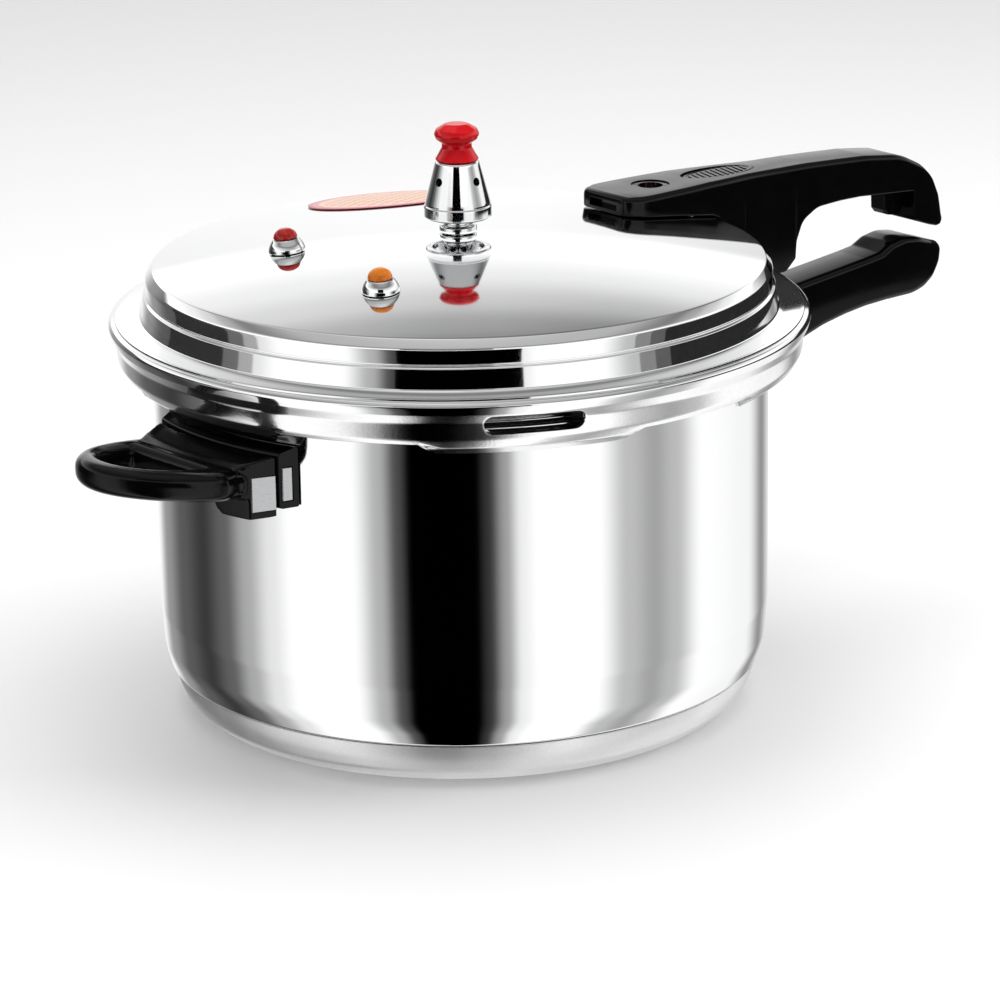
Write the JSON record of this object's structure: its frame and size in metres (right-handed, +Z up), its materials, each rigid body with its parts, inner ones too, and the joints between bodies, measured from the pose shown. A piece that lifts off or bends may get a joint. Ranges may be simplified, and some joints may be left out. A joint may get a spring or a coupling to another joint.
{
  "type": "stovetop pressure cooker",
  "caption": "Polished aluminium stovetop pressure cooker with a turning bayonet lid, long handles with a lock, a looped helper handle, a lift-off steam weight and safety valves.",
  "frame": {"origin": "centre of the base's flat underside, on the pot's axis", "axes": "+X out along both long handles with the lid locked, +Z up along the pot's axis"},
  "size_m": [0.4479, 0.28, 0.235],
  "materials": {
    "polished_aluminium": "mirror-polished, faint turning lines",
    "satin_aluminium": "satin, fine concentric turning lines",
    "black_bakelite": "glossy moulded phenolic",
    "chrome": "bright plated, turned",
    "steel": "plain brushed",
    "brass": "turned",
    "dark_silicone": "matt moulded",
    "red_plastic": "glossy",
    "amber_plastic": "glossy, slightly clear",
    "label_film": "printed film with a plain lattice"
  },
  "bodies": {
    "pot": {"pot_body": "polished_aluminium", "base_plate": "satin_aluminium", "pot_handle": "black_bakelite", "pot_handle_bracket": "steel", "pot_handle_screw": "steel", "lock_keeper": "steel", "keeper_screw": "steel", "side_handle_base": "black_bakelite", "side_handle_strap": "steel", "side_handle_grip": "black_bakelite", "side_handle_insert": "steel", "side_handle_screw_left": "steel", "side_handle_screw_right": "steel"},
    "seal_ring": {"gasket": "dark_silicone"},
    "lid": {"lid_shell": "polished_aluminium", "lid_label": "label_film", "vent_pipe": "chrome", "vent_nut": "steel", "anti_clog_cap": "steel", "lid_handle": "black_bakelite", "handle_badge": "black_bakelite", "lid_handle_cover": "black_bakelite", "lid_handle_bracket": "steel", "lid_handle_screw": "steel", "lid_handle_nut": "steel", "lid_front_screw_left": "steel", "lid_front_screw_right": "steel", "float_guide": "steel", "float_nut": "steel", "lock_spring": "steel", "red_valve_body": "chrome", "red_valve_cap": "red_plastic", "red_valve_nut": "steel", "red_valve_spring": "steel", "amber_valve_body": "chrome", "amber_valve_cap": "amber_plastic", "amber_valve_nut": "steel", "amber_valve_spring": "steel"},
    "float": {"float_pin": "steel", "float_seal": "dark_silicone", "float_cap": "red_plastic"},
    "lock": {"lock_bar": "steel", "lock_trigger": "black_bakelite"},
    "weight_grip": {"weight_clip": "steel"},
    "weight": {"weight_body": "chrome", "weight_needle": "brass", "weight_knob": "red_plastic"},
    "red_plunger": {"red_valve_plunger": "brass"},
    "amber_plunger": {"amber_valve_plunger": "brass"}
  },
  "joints": [
    {"name": "lid_lift", "type": "slide", "parent": "pot", "child": "seal_ring", "axis": [0, 0, 1], "range_m": [0, 0.12]},
    {"name": "lid_turn", "type": "hinge", "parent": "seal_ring", "child": "lid", "pos_m": [0, 0, 0.145], "axis": [0, 0, 1], "range_deg": [0, 30]},
    {"name": "weight_lift", "type": "slide", "parent": "lid", "child": "weight_grip", "axis": [0, 0, 1], "range_m": [0, 0.03]},
    {"name": "weight_spin", "type": "hinge", "parent": "weight_grip", "child": "weight", "pos_m": [0, 0, 0.21], "axis": [0, 0, 1], "continuous": true},
    {"name": "float_rise", "type": "slide", "parent": "lid", "child": "float", "axis": [0, 0, 1], "range_m": [0, 0.004]},
    {"name": "lock_slide", "type": "slide", "parent": "lid", "child": "lock", "axis": [-1, 0, 0], "range_m": [0, 0.005], "stiffness_N_per_m": 300, "springref_m": -0.008, "deforming": ["lock_spring"]},
    {"name": "red_valve_lift", "type": "slide", "parent": "lid", "child": "red_plunger", "axis": [-0.0884, 0.0462, 0.995], "range_m": [0, 0.0015], "stiffness_N_per_m": 800, "springref_m": -0.004, "deforming": ["red_valve_spring"]},
    {"name": "amber_valve_lift", "type": "slide", "parent": "lid", "child": "amber_plunger", "axis": [-0.0997, -0.0574, 0.9934], "range_m": [0, 0.0015], "stiffness_N_per_m": 800, "springref_m": -0.004, "deforming": ["amber_valve_spring"]}
  ]
}
